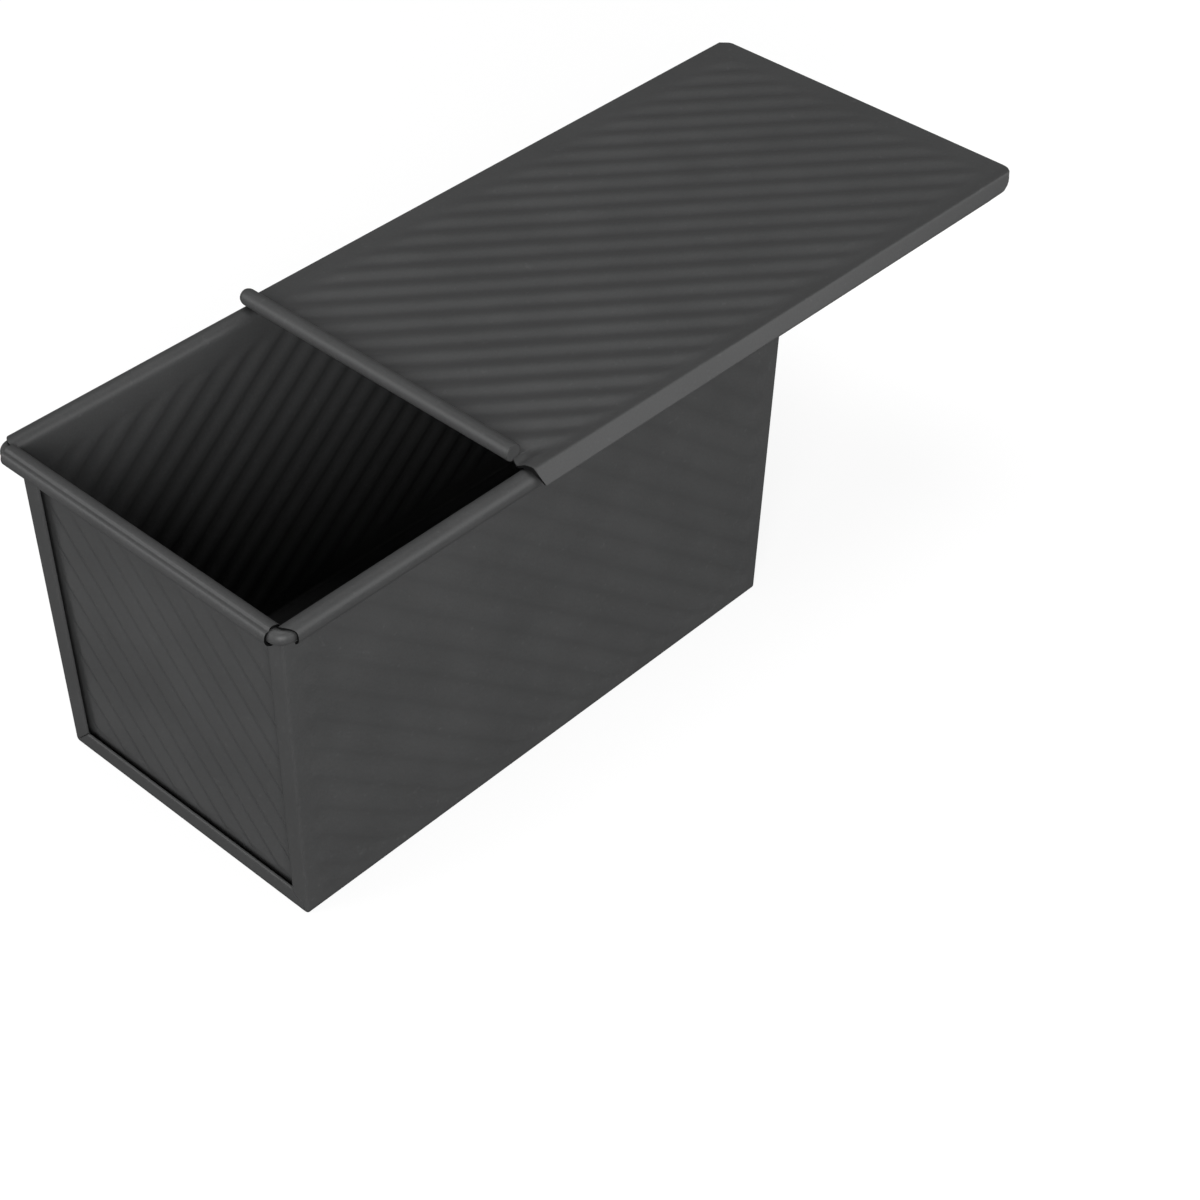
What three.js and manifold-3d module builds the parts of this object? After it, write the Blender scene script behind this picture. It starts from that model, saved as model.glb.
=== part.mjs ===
// A folded steel pullman loaf pan with its sliding lid drawn half off.
// Millimetres, +Z up. X runs along the pan, the lid slides off towards +X, and z = 0 is the table.
// The origin is the middle of the pan's base.
import * as THREE from 'three';
import { mergeVertices } from 'three/addons/utils/BufferGeometryUtils.js';
import Module from 'manifold-3d';

const wasm = await Module();
wasm.setup();

// Sheet and fits
const SHEET = 0.6; // thickness of the coated steel sheet
const PLAY = 0.3; // gap between folded layers, and between a wire and its curl
const FIELD_OVERLAP = 1.0; // how far a corrugated field runs into the flat sheet round it

// Pan
const BASE_LENGTH = 198; // over the seam strips, at the table
const BASE_WIDTH = 105; // over the side walls, at the table
const RIM_HEIGHT = 111.7; // centre of the rim wire above the table
const SIDE_FLARE = 2.1; // how far each side wall leans out at the rim wire's height
const END_FLARE = 2.2; // how far each end leans out at the rim wire's height
const BEND_RADIUS = 1.5; // outside of the bend between the base and a side wall
const STRIP_WIDTH = 6.5; // seam strip that shows on an end
const STRIP_DROP = 4.7; // upper end of a seam strip, below the rim wire
const NECK_DROP = 9.7; // where an end panel starts to turn outwards, below the rim wire
const NECK_REACH = 2.6; // how far it turns outwards on its way to the rim

// Rim
const WIRE_RADIUS = 2.3;
const WIRE_CORNER = 3; // bend radius of the wire, bare between the cut curls
const END_CURL_SHORT = 2.7; // an end curl stops this far short of the side wires
const SIDE_CURL_END = -60; // degrees at which a side curl stops, 0 pointing away from the pan
const END_CURL_END = -85; // the same for an end curl

// Lid
const LID_OVERHANG = 4.1; // past the rim at each end when the lid is shut
const LID_DRAWN = 96; // how far the lid is drawn off in this pose
const LID_CLEARANCE = 0.3; // between the rim and the lowest part of the lid's field and bead
const FLANGE_ROOM = 0.85; // between a side curl and the slanting flange over it
const FLANGE_SLOPE = 53; // degrees below level
const LIP_ROOM = 0.3; // between a side curl and the lip that returns under it
const LIP_SLOPE = 45; // degrees below level, turned inwards
const LIP_WIDTH = 7.5;
const LIP_SETBACK = 14; // the lip stops this far short of each end of the lid
const REAR_CORNER = 9; // radius of the lid's rear corners, in the flat blank
const CHANNEL_SETBACK = 2.6; // the bead stands this far in front of the side flanges

// Bead along the front of the lid
const BEAD_WIRE_RADIUS = 1.8;
const BEAD_TURN = 310; // degrees
const BEAD_PAST = 3.2; // its end on the +Y side, past the line of the rim wire
const BEAD_SHORT = 5.7; // its end on the -Y side, short of the line of the rim wire
const BEAD_LEAD = 3.4; // flat sheet between the bead's lowest line and the lid's field

// Corrugated fields
const WAVE_PITCH = 8.8;
const WAVE_DEPTH = 0.7; // crest to trough
const BASE_WAVE_DEPTH = 0.5; // shallower, so that the base still stands on its flat edge
const WAVE_LAND = 2.64; // flat of each crest and trough
const WAVE_ANGLE = 40; // degrees from the long way of each sheet
const FIELD_REACH = 3; // a block that cuts a field out reaches this far past the sheet
const WALL_MARGIN_LOW = 5; // flat sheet left round the fields
const WALL_MARGIN_HIGH = 6.5;
const WALL_MARGIN_END = 1.2;
const BASE_MARGIN = 4.5;
const PANEL_MARGIN = 0.5;
const LID_MARGIN_REAR = 8;
const LID_MARGIN_LEFT = 8; // on the +Y side
const LID_MARGIN_RIGHT = 3; // on the -Y side

// Facets
const CURL_STEPS = 14;
const BEND_STEPS = 3;
const ROD_SIDES = 10;
const CORNER_STEPS = 5;

// Worked out from the above
const curlRadius = WIRE_RADIUS + PLAY + SHEET;
const rimTop = RIM_HEIGHT + curlRadius;
const lockDepth = 4 * SHEET + 3 * PLAY; // four layers of sheet in a seam
const panelFace = BASE_LENGTH / 2 - lockDepth; // inside of an end panel, at the table
const wallFace = BASE_WIDTH / 2 - SHEET; // inside of a side wall, at the table
const wireHalfLength = panelFace + END_FLARE + NECK_REACH + curlRadius;
const wireHalfWidth = wallFace + SIDE_FLARE + curlRadius;
const stripTop = RIM_HEIGHT - STRIP_DROP;
const neckStart = RIM_HEIGHT - NECK_DROP; // the hooked layers of a seam stop here too
const sideCurlHalf = wireHalfLength - curlRadius - PLAY; // clear of the end curls
const endCurlHalf = wireHalfWidth - END_CURL_SHORT;
const neckHalf = wallFace + SIDE_FLARE - 2 * PLAY; // an end's neck stays between the side walls
const sideLean = SIDE_FLARE / RIM_HEIGHT;
const endLean = END_FLARE / RIM_HEIGHT;

const radians = THREE.MathUtils.degToRad;
const along = new THREE.Vector3(1, 0, 0);
const across = new THREE.Vector3(0, 1, 0);
const upward = new THREE.Vector3(0, 0, 1);

// Solids

// A closed solid from a three.js geometry.
function solid(geometry) {
  const bare = geometry.index ? geometry.toNonIndexed() : geometry.clone();
  bare.deleteAttribute('normal');
  bare.deleteAttribute('uv');
  const merged = mergeVertices(bare, 1e-4);
  return new wasm.Manifold(new wasm.Mesh({
    numProp: 3,
    vertProperties: new Float32Array(merged.attributes.position.array),
    triVerts: new Uint32Array(merged.index.array),
  }));
}

function join(...solids) {
  return solids.reduce((whole, piece) => whole.add(piece));
}

// A flat outline pushed along a direction, with its x and y laid along two other directions.
function prism(outline, depth, xAxis, yAxis, start = new THREE.Vector3()) {
  const geometry = new THREE.ExtrudeGeometry(new THREE.Shape(outline), { depth, bevelEnabled: false });
  const zAxis = new THREE.Vector3().crossVectors(xAxis, yAxis);
  const place = new THREE.Matrix4().makeBasis(xAxis, yAxis, zAxis).setPosition(start);
  return solid(geometry.applyMatrix4(place));
}

// An outline in (y, z) pushed along X.
function alongX(outline, x0, x1) {
  return prism(outline, x1 - x0, across, upward, new THREE.Vector3(x0, 0, 0));
}

// An outline in (x, z) pushed along Y.
function alongY(outline, y0, y1) {
  return prism(outline, y1 - y0, along, upward, new THREE.Vector3(0, y1, 0));
}

function block(x0, x1, y0, y1, z0, z1) {
  return alongX(rectangle(y0, y1, z0, z1), x0, x1);
}

function point(x, y) {
  return new THREE.Vector2(x, y);
}

function rectangle(x0, x1, y0, y1) {
  return [point(x0, y0), point(x1, y0), point(x1, y1), point(x0, y1)];
}

function arc(x, y, radius, from, to, steps) {
  const points = [];
  for (let i = 0; i <= steps; i++) {
    const angle = radians(from + ((to - from) * i) / steps);
    points.push(point(x + radius * Math.cos(angle), y + radius * Math.sin(angle)));
  }
  return points;
}

// The outline of a folded sheet: a path, and the same path moved by the sheet's thickness to its left.
function foldedSheet(path, thickness) {
  const moved = path.map((corner, i) => {
    const before = path[Math.max(i - 1, 0)];
    const after = path[Math.min(i + 1, path.length - 1)];
    const arriving = (i > 0 ? corner.clone().sub(before) : after.clone().sub(corner)).normalize();
    const leaving = i < path.length - 1 ? after.clone().sub(corner).normalize() : arriving;
    const way = arriving.clone().add(leaving).normalize();
    const stretch = thickness / way.dot(arriving);
    return point(corner.x - way.y * stretch, corner.y + way.x * stretch);
  });
  return [...path, ...moved.reverse()];
}

// A half path run through from its mirror image.
function mirrored(half) {
  const left = half.map((p) => point(-p.x, p.y)).reverse();
  return [...left, ...half];
}

// A corrugated sheet with its waves along one direction, big enough to be cut to any field.
function corrugation(middle, acrossWaves, normal, depth, reach) {
  const land = WAVE_LAND / 2;
  const count = Math.ceil(reach / WAVE_PITCH);
  const lower = [];
  for (let i = -count; i <= count; i++) {
    const trough = i * WAVE_PITCH;
    const crest = trough + WAVE_PITCH / 2;
    lower.push(point(trough - land, -depth / 2), point(trough + land, -depth / 2));
    lower.push(point(crest - land, depth / 2), point(crest + land, depth / 2));
  }
  const upper = lower.map((p) => point(p.x, p.y + SHEET)).reverse();
  const waves = new THREE.Vector3().crossVectors(acrossWaves, normal);
  const start = middle.clone().addScaledVector(normal, -SHEET / 2).addScaledVector(waves, -reach);
  return prism([...lower, ...upper], 2 * reach, acrossWaves, normal, start);
}

// A flat sheet whose field is replaced by a corrugated one that runs a little into the flat.
function withField(sheet, field, inner, waves) {
  return sheet.subtract(inner).add(waves.intersect(field));
}

function leanOut(piece) {
  const lean = new THREE.Matrix4();
  lean.elements[8] = -endLean; // x moves towards -X as z grows
  return piece.transform(lean.elements);
}

function turned(piece) {
  return piece.transform(new THREE.Matrix4().makeRotationZ(Math.PI).elements);
}

// The near end: layers of the folded seam, upright, counted outwards from the panel's inside

function halfWidthAt(z) {
  return BASE_WIDTH / 2 + sideLean * z;
}

// The lower corner of an end's outline at a distance from its outer edge, round where the wrap bends.
function lowerCorner(inset) {
  const round = BEND_RADIUS - inset;
  if (round <= 0) {
    return [point(halfWidthAt(inset) - inset, inset)];
  }
  return arc(BASE_WIDTH / 2 - BEND_RADIUS, BEND_RADIUS, round, -90, 0, BEND_STEPS);
}

// A band that follows the sides and base of an end, between two distances from its outer edge.
function seamBand(outer, inner, top) {
  return mirrored([
    ...lowerCorner(outer),
    point(halfWidthAt(top) - outer, top),
    point(halfWidthAt(top) - inner, top),
    ...lowerCorner(inner).reverse(),
  ]);
}

// A whole end, cut back from its outer edge and down to a height.
function endOutline(inset, top) {
  return mirrored([...lowerCorner(inset), point(halfWidthAt(top) - inset, top)]);
}

function layer(outline, from, to) {
  return alongX(outline, -panelFace - to, -panelFace - from);
}

const second = SHEET + PLAY; // where each further layer of the seam starts
const third = 2 * second;
const fourth = 3 * second;

function wrapSeam() {
  const hookInside = 2 * second; // the hook's free edge stops short of the panel's fold
  const strip = layer(seamBand(0, STRIP_WIDTH, stripTop), fourth, lockDepth);
  const fold = layer(seamBand(STRIP_WIDTH - SHEET, STRIP_WIDTH, neckStart), second, lockDepth);
  const hook = layer(seamBand(hookInside, STRIP_WIDTH, neckStart), second, second + SHEET);
  return leanOut(join(strip, fold, hook));
}

function endPanel() {
  const edge = second; // clear of the wrap's own sheet
  const bandInside = STRIP_WIDTH - SHEET - PLAY;
  const fold = layer(seamBand(edge, edge + SHEET, neckStart), 0, third + SHEET);
  const hook = layer(seamBand(edge, bandInside, neckStart), third, third + SHEET);
  const face = layer(endOutline(edge, neckStart), 0, SHEET);

  const fieldEdge = STRIP_WIDTH + PANEL_MARGIN;
  const fieldTop = neckStart - PANEL_MARGIN;
  const innerEdge = fieldEdge + FIELD_OVERLAP;
  const field = layer(endOutline(fieldEdge, fieldTop), -FIELD_REACH, FIELD_REACH);
  const inner = layer(endOutline(innerEdge, fieldTop - FIELD_OVERLAP), -FIELD_REACH, FIELD_REACH);
  const grain = radians(WAVE_ANGLE);
  const acrossWaves = new THREE.Vector3(0, Math.cos(grain), -Math.sin(grain));
  const middle = new THREE.Vector3(-panelFace - SHEET / 2, 0, neckStart / 2);
  const waves = corrugation(middle, acrossWaves, new THREE.Vector3(-1, 0, 0), WAVE_DEPTH, BASE_WIDTH);
  const body = withField(face, field, inner, waves);

  // The neck turns out behind the strips, then round the wire
  const behindStrip = fourth - PLAY - SHEET;
  const centre = -panelFace - NECK_REACH - curlRadius;
  const neck = [
    point(-panelFace, neckStart - FIELD_OVERLAP),
    point(-panelFace, neckStart),
    point(-panelFace - behindStrip, stripTop),
  ];
  const curl = arc(centre, RIM_HEIGHT, curlRadius, 0, 180 - END_CURL_END, CURL_STEPS);
  const turnedOut = alongY(foldedSheet([...neck, ...curl], SHEET), -neckHalf, neckHalf);
  const rolled = alongY(foldedSheet(curl, SHEET), -endCurlHalf, endCurlHalf);
  return leanOut(join(body, fold, hook, turnedOut, rolled));
}

// The wrap: base and both side walls in one sheet, folded over both end panels

// The sheet's inside from the middle of the base to a height, and on round the wire if asked.
function wrapHalf(top, curled) {
  const bendInside = BEND_RADIUS - SHEET;
  const path = [
    ...arc(BASE_WIDTH / 2 - BEND_RADIUS, BEND_RADIUS, bendInside, -90, 0, BEND_STEPS),
    point(wallFace + sideLean * top, top),
  ];
  if (curled) {
    path.push(...arc(wireHalfWidth, RIM_HEIGHT, curlRadius, 180, SIDE_CURL_END, CURL_STEPS).slice(1));
  }
  return path;
}

function wrapOutline(top, curled) {
  return foldedSheet(mirrored(wrapHalf(top, curled)).reverse(), SHEET);
}

function bodyWrap() {
  const outside = BASE_LENGTH / 2;
  const flared = outside + endLean * rimTop;
  const ends = alongY([
    point(-outside, 0),
    point(outside, 0),
    point(flared, rimTop),
    point(-flared, rimTop),
  ], -BASE_WIDTH, BASE_WIDTH);
  const low = alongX(wrapOutline(stripTop, false), -BASE_LENGTH, BASE_LENGTH);
  const high = alongX(wrapOutline(RIM_HEIGHT, true), -sideCurlHalf, sideCurlHalf);
  let wrap = join(low, high).intersect(ends);

  const seam = wrapSeam();
  wrap = join(wrap, seam, turned(seam));

  const wall = wallField();
  wrap = withField(wrap, wall.field, wall.inner, wall.waves);
  wrap = withField(wrap, turned(wall.field), turned(wall.inner), turned(wall.waves));

  const grain = radians(WAVE_ANGLE);
  const baseMiddle = new THREE.Vector3(0, 0, SHEET / 2 + BASE_WAVE_DEPTH / 2);
  const acrossWaves = new THREE.Vector3(Math.sin(grain), -Math.cos(grain), 0);
  const baseWaves = corrugation(baseMiddle, acrossWaves, upward, BASE_WAVE_DEPTH, BASE_LENGTH);
  const halfX = panelFace - BASE_MARGIN;
  const halfY = BASE_WIDTH / 2 - BEND_RADIUS - BASE_MARGIN;
  const field = block(-halfX, halfX, -halfY, halfY, -FIELD_REACH, FIELD_REACH);
  const innerX = halfX - FIELD_OVERLAP;
  const innerY = halfY - FIELD_OVERLAP;
  const inner = block(-innerX, innerX, -innerY, innerY, -FIELD_REACH, FIELD_REACH);
  return withField(wrap, field, inner, baseWaves);
}

// The corrugated field of the side wall at -Y. The other wall is the same, turned half round.
function wallField() {
  const low = BEND_RADIUS + WALL_MARGIN_LOW;
  const high = RIM_HEIGHT - WALL_MARGIN_HIGH;
  const half = panelFace - WALL_MARGIN_END;
  const field = block(-half, half, -BASE_WIDTH, 0, low, high);
  const innerHalf = half - FIELD_OVERLAP;
  const inner = block(-innerHalf, innerHalf, -BASE_WIDTH, 0, low + FIELD_OVERLAP, high - FIELD_OVERLAP);
  const grain = radians(WAVE_ANGLE);
  const tilt = Math.atan(sideLean);
  const wallUp = new THREE.Vector3(0, -Math.sin(tilt), Math.cos(tilt));
  const outward = new THREE.Vector3(0, -Math.cos(tilt), -Math.sin(tilt));
  const acrossWaves = along.clone().multiplyScalar(Math.sin(grain)).addScaledVector(wallUp, Math.cos(grain));
  const middle = new THREE.Vector3(0, -halfWidthAt(low) + SHEET / 2, low);
  const waves = corrugation(middle, acrossWaves, outward, WAVE_DEPTH, BASE_LENGTH);
  return { field, inner, waves };
}

// The rim wire, a closed ring that the curls hide but for its corners

class WireBend extends THREE.Curve {
  constructor(x, y, from) {
    super();
    this.middle = new THREE.Vector3(x, y, RIM_HEIGHT);
    this.from = from;
  }

  getPoint(t) {
    const angle = this.from + (t * Math.PI) / 2;
    const reach = new THREE.Vector3(Math.cos(angle), Math.sin(angle), 0);
    return this.middle.clone().addScaledVector(reach, WIRE_CORNER);
  }
}

function rod(path, steps, radius) {
  const section = new THREE.Shape(arc(0, 0, radius, 0, 360 - 360 / ROD_SIDES, ROD_SIDES - 1));
  return solid(new THREE.ExtrudeGeometry(section, { steps, bevelEnabled: false, extrudePath: path }));
}

function rimWire() {
  const x = wireHalfLength - WIRE_CORNER;
  const y = wireHalfWidth - WIRE_CORNER;
  const bends = [[x, y], [-x, y], [-x, -y], [x, -y]].map(
    ([cx, cy], i) => new WireBend(cx, cy, (i * Math.PI) / 2),
  );
  const pieces = [];
  bends.forEach((bend, i) => {
    const next = bends[(i + 1) % bends.length];
    pieces.push(rod(bend, CORNER_STEPS, WIRE_RADIUS));
    pieces.push(rod(new THREE.LineCurve3(bend.getPoint(1), next.getPoint(0)), 1, WIRE_RADIUS));
  });
  return join(...pieces);
}

// The lid, built over the middle of the pan

const lidUnder = rimTop + LID_CLEARANCE + WAVE_DEPTH / 2; // underside of its flat margin
const lidTop = lidUnder + SHEET;
const beadRadius = BEAD_WIRE_RADIUS + PLAY + SHEET;
const lidHalf = wireHalfLength + curlRadius + LID_OVERHANG;
const beadX = -lidHalf + beadRadius;
const beadZ = rimTop + LID_CLEARANCE + beadRadius;
const beadLeft = wireHalfWidth + BEAD_PAST;
const beadRight = wireHalfWidth - BEAD_SHORT;
const channelFront = -lidHalf + CHANNEL_SETBACK;

// The flange and the lip each keep their room from the side curl, measured from the wire's centre.
const flangeAngle = radians(FLANGE_SLOPE);
const lipAngle = radians(LIP_SLOPE);
const flangeOff = curlRadius + FLANGE_ROOM + SHEET;
const lipOff = curlRadius + LIP_ROOM + SHEET;
const meeting = Math.sin(flangeAngle + lipAngle);
const flangeY = wireHalfWidth + (flangeOff * Math.cos(lipAngle) + lipOff * Math.cos(flangeAngle)) / meeting;
const flangeZ = RIM_HEIGHT + (flangeOff * Math.sin(lipAngle) - lipOff * Math.sin(flangeAngle)) / meeting;
const lidLift = (lidTop - RIM_HEIGHT) * Math.cos(flangeAngle);
const bendY = wireHalfWidth + (flangeOff - lidLift) / Math.sin(flangeAngle);
const flangeWidth = Math.hypot(flangeY - bendY, lidTop - flangeZ);

function lidOutline() {
  const half = [
    point(bendY, lidTop),
    point(flangeY, flangeZ),
    point(flangeY - LIP_WIDTH * Math.cos(lipAngle), flangeZ - LIP_WIDTH * Math.sin(lipAngle)),
  ];
  return foldedSheet(mirrored(half).reverse(), SHEET);
}

// What is cut away to set the lips back from both ends and round the rear corners.
function lidTrim() {
  const reach = BASE_WIDTH;
  const lipBelow = flangeZ - SHEET;
  const low = lipBelow - LIP_WIDTH;
  const front = block(-2 * lidHalf, channelFront + LIP_SETBACK, -reach, reach, low, lipBelow);
  const rear = block(lidHalf - LIP_SETBACK, 2 * lidHalf, -reach, reach, low, lipBelow);

  // Where a point of the blank lies across the pan once the flange is bent down.
  const bent = (fromEdge) => {
    const onFlange = fromEdge < flangeWidth;
    return onFlange ? flangeY - fromEdge * Math.cos(flangeAngle) : bendY + flangeWidth - fromEdge;
  };
  const x = lidHalf - REAR_CORNER;
  const rounding = arc(x, -REAR_CORNER, REAR_CORNER, 0, 90, 2 * BEND_STEPS);
  const corner = [
    ...rounding.map((p) => point(p.x, bent(-p.y))),
    point(x, reach),
    point(2 * lidHalf, reach),
    point(2 * lidHalf, bent(REAR_CORNER)),
  ];
  const foot = new THREE.Vector3(0, 0, low);
  const rounded = [1, -1].map((side) => {
    const outline = corner.map((p) => point(p.x, side * p.y));
    return prism(outline, lidTop + SHEET - low, along, across, foot);
  });
  return join(front, rear, ...rounded);
}

function lidSheet() {
  const lead = beadX + BEAD_LEAD;
  const low = lidUnder - FIELD_REACH;
  const high = lidTop + FIELD_REACH;
  const notch = block(-2 * lidHalf, lead - SHEET, -beadRight - PLAY, BASE_WIDTH, flangeZ - LIP_WIDTH, high);
  let lid = alongX(lidOutline(), channelFront, lidHalf).subtract(lidTrim()).subtract(notch);

  const rolled = arc(beadX, beadZ, beadRadius, -90, -90 - BEAD_TURN, CURL_STEPS + BEND_STEPS);
  const bead = foldedSheet([...rolled.reverse(), point(lead, lidUnder)], SHEET);
  lid = lid.add(alongY(bead, -beadRight, beadLeft));

  const right = LID_MARGIN_RIGHT - bendY;
  const left = bendY - LID_MARGIN_LEFT;
  const rear = lidHalf - LID_MARGIN_REAR;
  const lap = FIELD_OVERLAP;
  const field = block(lead, rear, right, left, low, high);
  const inner = block(lead + lap, rear - lap, right + lap, left - lap, low, high);
  const grain = radians(WAVE_ANGLE);
  const acrossWaves = new THREE.Vector3(Math.sin(grain), Math.cos(grain), 0);
  const middle = new THREE.Vector3(0, 0, lidUnder + SHEET / 2);
  const waves = corrugation(middle, acrossWaves, upward, WAVE_DEPTH, 2 * lidHalf);
  return withField(lid, field, inner, waves);
}

function beadWire() {
  const from = new THREE.Vector3(beadX, -beadRight, beadZ);
  const to = new THREE.Vector3(beadX, beadLeft, beadZ);
  return rod(new THREE.LineCurve3(from, to), 1, BEAD_WIRE_RADIUS);
}

// Meshes

function coating() {
  return new THREE.MeshStandardMaterial({ color: 0x484848, roughness: 0.5, metalness: 0.2 });
}

function steel() {
  return new THREE.MeshStandardMaterial({ color: 0x8c8f92, roughness: 0.35, metalness: 1 });
}

function named(name, piece, material) {
  const { vertProperties, triVerts } = piece.getMesh();
  const geometry = new THREE.BufferGeometry();
  geometry.setAttribute('position', new THREE.BufferAttribute(new Float32Array(vertProperties), 3));
  geometry.setIndex(new THREE.BufferAttribute(new Uint32Array(triVerts), 1));
  geometry.computeVertexNormals();
  const mesh = new THREE.Mesh(geometry, material);
  mesh.name = name;
  return mesh;
}

const pan = new THREE.Group();
const panel = endPanel();
pan.add(
  named('body_wrap', bodyWrap(), coating()),
  named('near_end_panel', panel, coating()),
  named('far_end_panel', turned(panel), coating()),
  named('rim_wire', rimWire(), coating()),
);

const lid = new THREE.Group();
lid.position.x = LID_DRAWN;
lid.add(
  named('lid_sheet', lidSheet(), coating()),
  named('lid_bead_wire', beadWire(), steel()),
);

const part = new THREE.Group();
part.add(pan, lid);
export default part;
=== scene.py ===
"""A pullman loaf pan with its lid drawn half off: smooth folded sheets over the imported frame."""
import math

import bmesh
import bpy
import numpy as np
from mathutils import Matrix, Vector


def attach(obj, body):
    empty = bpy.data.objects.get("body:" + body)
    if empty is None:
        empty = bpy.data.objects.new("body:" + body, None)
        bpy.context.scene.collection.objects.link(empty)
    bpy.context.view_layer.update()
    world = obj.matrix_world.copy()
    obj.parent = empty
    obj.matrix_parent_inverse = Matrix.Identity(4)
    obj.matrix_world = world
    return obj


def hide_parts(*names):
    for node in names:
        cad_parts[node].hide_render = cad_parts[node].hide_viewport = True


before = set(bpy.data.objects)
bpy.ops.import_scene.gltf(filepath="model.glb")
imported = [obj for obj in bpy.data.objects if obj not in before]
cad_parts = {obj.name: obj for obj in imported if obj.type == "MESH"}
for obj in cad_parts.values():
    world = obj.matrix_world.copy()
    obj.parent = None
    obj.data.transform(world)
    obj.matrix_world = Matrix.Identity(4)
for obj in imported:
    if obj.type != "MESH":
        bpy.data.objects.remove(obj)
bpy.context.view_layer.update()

# Sizes of the part in millimetres, the same as in its solids
MM = 0.001
SHEET = 0.6
PLAY = 0.3
BASE_LENGTH = 198.0
BASE_WIDTH = 105.0
RIM_HEIGHT = 111.7
SIDE_FLARE = 2.1
END_FLARE = 2.2
BEND_RADIUS = 1.5
STRIP_WIDTH = 6.5
STRIP_TOP = 107.0
NECK_START = 102.0
NECK_REACH = 2.6
WIRE_RADIUS = 2.3
WIRE_CORNER = 3.0
END_CURL_SHORT = 2.7
SIDE_CURL_END = -60.0
END_CURL_END = -85.0
LID_OVERHANG = 4.1
LID_DRAWN = 96.0
LID_CLEARANCE = 0.3
FLANGE_ROOM = 0.85
FLANGE_SLOPE = math.radians(53)
LIP_ROOM = 0.3
LIP_SLOPE = math.radians(45)
LIP_WIDTH = 7.5
LIP_SETBACK = 14.0
CHANNEL_SETBACK = 2.6
BEAD_WIRE_RADIUS = 1.8
BEAD_PAST = 3.2
BEAD_SHORT = 5.7
BEAD_LEAD = 3.4
WAVE_PITCH = 8.8
WAVE_DEPTH = 0.7
BASE_WAVE_DEPTH = 0.5
WAVE_ANGLE = math.radians(40)

# Worked out from them
curl_radius = WIRE_RADIUS + PLAY + SHEET
rim_top = RIM_HEIGHT + curl_radius
lock_depth = 4 * SHEET + 3 * PLAY
panel_face = BASE_LENGTH / 2 - lock_depth
wall_face = BASE_WIDTH / 2 - SHEET
wire_half_length = panel_face + END_FLARE + NECK_REACH + curl_radius
wire_half_width = wall_face + SIDE_FLARE + curl_radius
side_curl_half = wire_half_length - curl_radius - PLAY
end_curl_half = wire_half_width - END_CURL_SHORT
side_lean = SIDE_FLARE / RIM_HEIGHT
end_lean = END_FLARE / RIM_HEIGHT
lid_under = rim_top + LID_CLEARANCE + WAVE_DEPTH / 2
lid_top = lid_under + SHEET
bead_radius = BEAD_WIRE_RADIUS + PLAY + SHEET
lid_half = wire_half_length + curl_radius + LID_OVERHANG
bead_x = -lid_half + bead_radius
bead_z = rim_top + LID_CLEARANCE + bead_radius
bead_left = wire_half_width + BEAD_PAST
bead_right = wire_half_width - BEAD_SHORT
channel_front = -lid_half + CHANNEL_SETBACK
flange_off = curl_radius + FLANGE_ROOM + SHEET
lip_off = curl_radius + LIP_ROOM + SHEET
meeting = math.sin(FLANGE_SLOPE + LIP_SLOPE)
flange_y = wire_half_width + (flange_off * math.cos(LIP_SLOPE) + lip_off * math.cos(FLANGE_SLOPE)) / meeting
flange_z = RIM_HEIGHT + (flange_off * math.sin(LIP_SLOPE) - lip_off * math.sin(FLANGE_SLOPE)) / meeting
lid_lift = (lid_top - RIM_HEIGHT) * math.cos(FLANGE_SLOPE)
bend_y = wire_half_width + (flange_off - lid_lift) / math.sin(FLANGE_SLOPE)

# Fineness of the meshes, in millimetres and degrees
GRID = 1.1  # spacing over a corrugated sheet
PANEL_GRID = 0.7  # closer on the ends, whose grooves are narrow
NECK_GRID = 0.8
BEAD_GRID = 20.0  # along the straight wire in the bead
BEND_STEP = 15.0
HEM_STEP = 18.0
SIDE_CURL_STEP = 9.0
END_CURL_STEP = 4.0
BEAD_STEP = 12.0
ROUND_STEP = 12.0
WIRE_STEP = 7.5
RIM_WIRE_SIDES = 28
BEAD_WIRE_SIDES = 24
CAP_SIDES = 40
LEAD_STEP = 0.25  # share of the lid's lead from the bead to its field
TOLERANCE = 1e-6
ROW_GAP = 1e-3  # rows of the lid closer than this are one
MERGE_DISTANCE = 1e-6  # metres
SHARP_ANGLE = math.radians(42)

# Looks of the pan that only the scene has
WAVE_FLATNESS = 0.55  # the lower, the flatter a wave's crests and troughs
WALL_FOOT = 4.0  # flat margins of the side walls above the bend and below the rim
WALL_HEAD = 6.0
WALL_FADE_FOOT = 3.0  # over which the waves come out of each margin
WALL_FADE_HEAD = 4.0
WALL_END = 0.5  # and at the ends
WALL_FADE_END = 3.5
BASE_END = 4.0  # flat margins of the base
BASE_SIDE = 5.0
BASE_FADE = 3.0
PANEL_EDGE = 0.3  # flat margin of an end panel beside the strips
PANEL_FADE = 2.2
PANEL_HEAD = 1.0  # and below its neck
PANEL_FADE_HEAD = 13.0
EDGE_BEND = 0.8  # outside radius of the upright corners
HEM_BEND = 0.7  # outside radius of a strip's folded edge
HEM_BACK = 0.8  # depth of that edge, which leaves a dark gap in front of the end panel
NECK_GAP = 0.06  # between an end's neck and the side walls
MITRE_GAP = 0.15  # half the width of the mitre line between two strips
MITRE_DEPTH = 0.4
MITRE_FADE = 0.75  # from the bend into the full line
CREASE_DEPTH = 0.55  # line pressed along the top of an end rim
CREASE_ANGLE = 122.0  # where it runs, degrees round the curl from the pan's side
CREASE_WIDTH = 12.0
GROOVE_DEPTH = 0.6  # of the end panels' corrugation
GROOVE_SHARE = 0.22  # narrow side of each of its waves
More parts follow.
